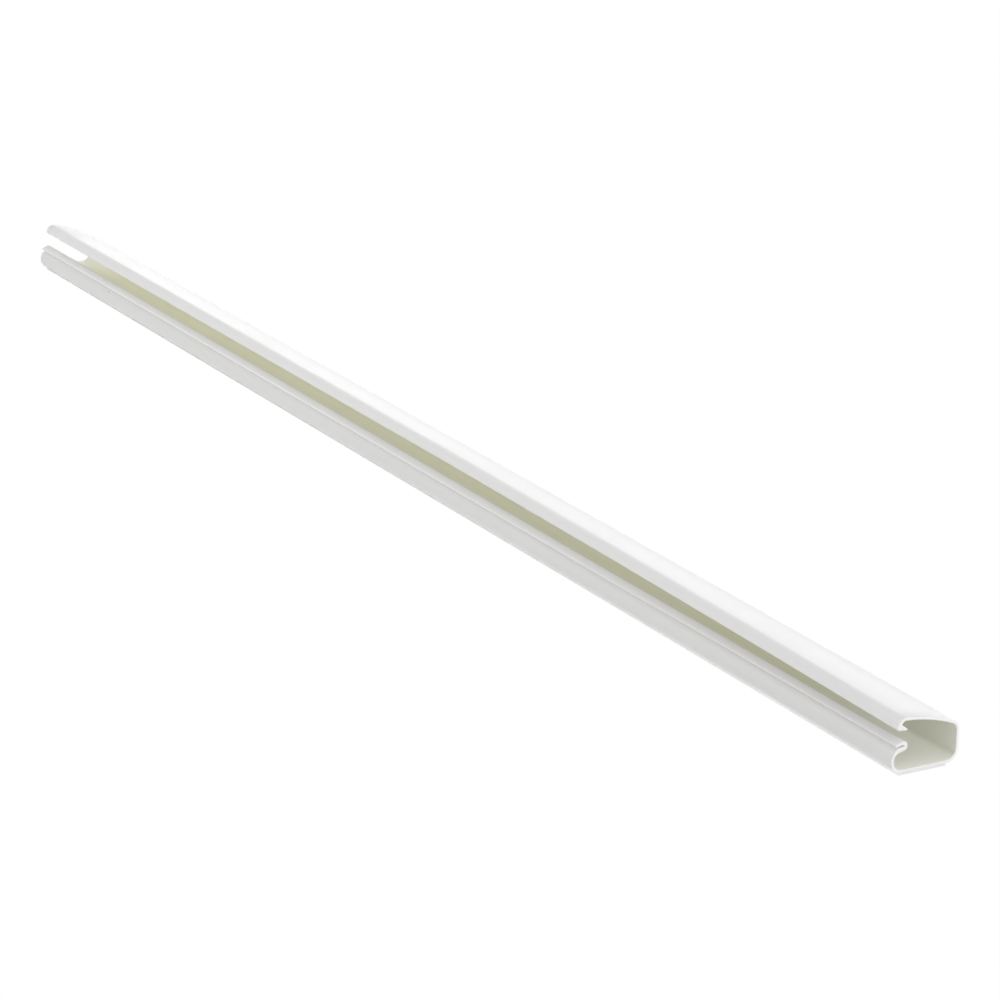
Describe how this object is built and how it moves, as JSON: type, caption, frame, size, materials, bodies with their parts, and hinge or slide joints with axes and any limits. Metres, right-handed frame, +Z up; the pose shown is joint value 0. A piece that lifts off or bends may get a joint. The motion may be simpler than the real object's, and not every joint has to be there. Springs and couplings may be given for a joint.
{
  "type": "cord cover raceway",
  "caption": "Long white plastic cord cover raceway with a snap-over flap standing open along its latch side, on a strip of foam mounting tape.",
  "frame": {"origin": "middle of the tape's underside, half way along the length", "axes": "+X along the length towards the end where the flap has come down, -Y towards the latch, +Z up out of the mounting face"},
  "size_m": [0.762, 0.028, 0.0221],
  "materials": {
    "white_pvc": "satin white extruded plastic, faint die lines along the length",
    "foam_tape": "matt white closed-cell foam tape"
  },
  "bodies": {
    "root": {"channel": "white_pvc", "adhesive_tape": "foam_tape"}
  },
  "joints": []
}
